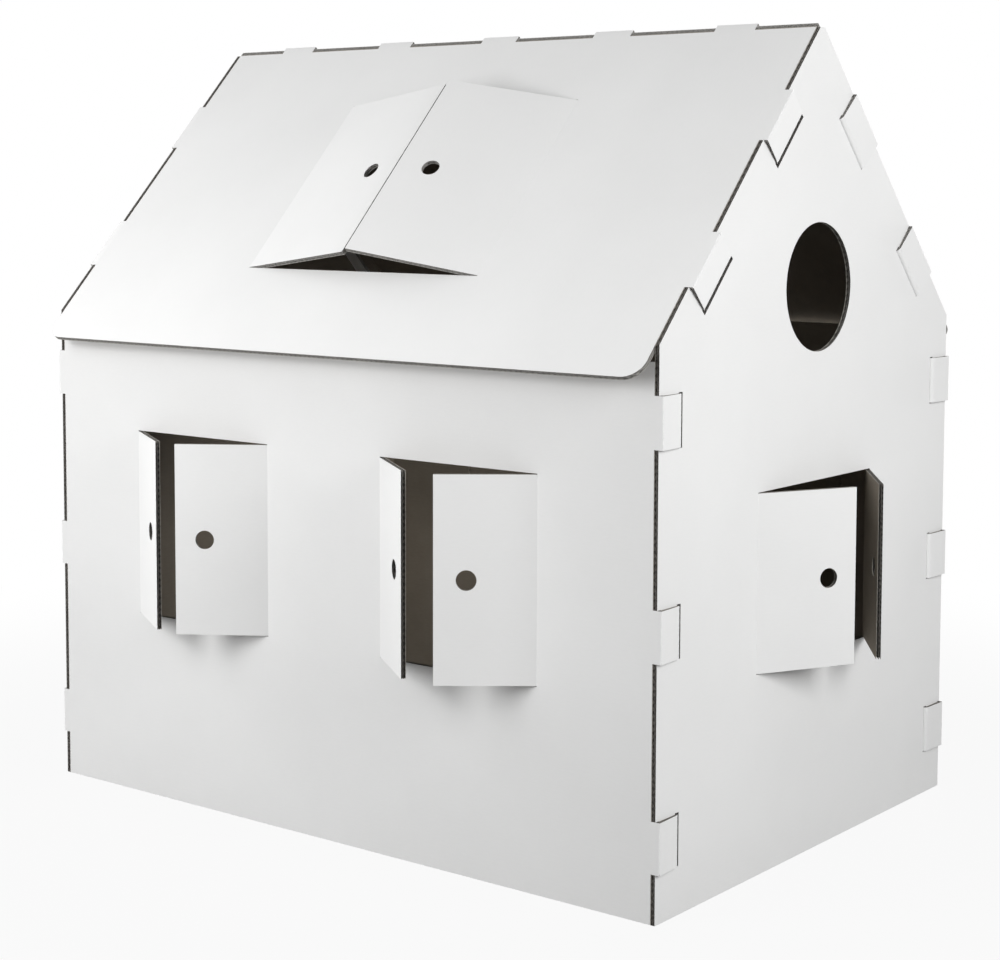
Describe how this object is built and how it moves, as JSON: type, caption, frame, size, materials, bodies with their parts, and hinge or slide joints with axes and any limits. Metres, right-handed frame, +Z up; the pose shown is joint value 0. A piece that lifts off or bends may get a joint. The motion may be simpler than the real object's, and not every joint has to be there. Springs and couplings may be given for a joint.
{
  "type": "cardboard playhouse",
  "caption": "Gabled playhouse of white-faced corrugated board, slotted together with folded tabs, with shuttered windows, a round window, a skylight and a door flap.",
  "frame": {"origin": "middle of the house's footprint, on the floor", "axes": "+X towards the gable with the window and the round hole, -Y towards the front wall under the skylight, +Z up"},
  "size_m": [1.0752, 0.8059, 1.0241],
  "materials": {
    "white_faced_board": "matt white liner outside, brown liner inside, raw fluted edges"
  },
  "bodies": {
    "root": {"front_wall": "white_faced_board", "back_wall": "white_faced_board", "right_gable": "white_faced_board", "left_gable": "white_faced_board", "front_roof": "white_faced_board", "back_roof": "white_faced_board"}
  },
  "joints": []
}
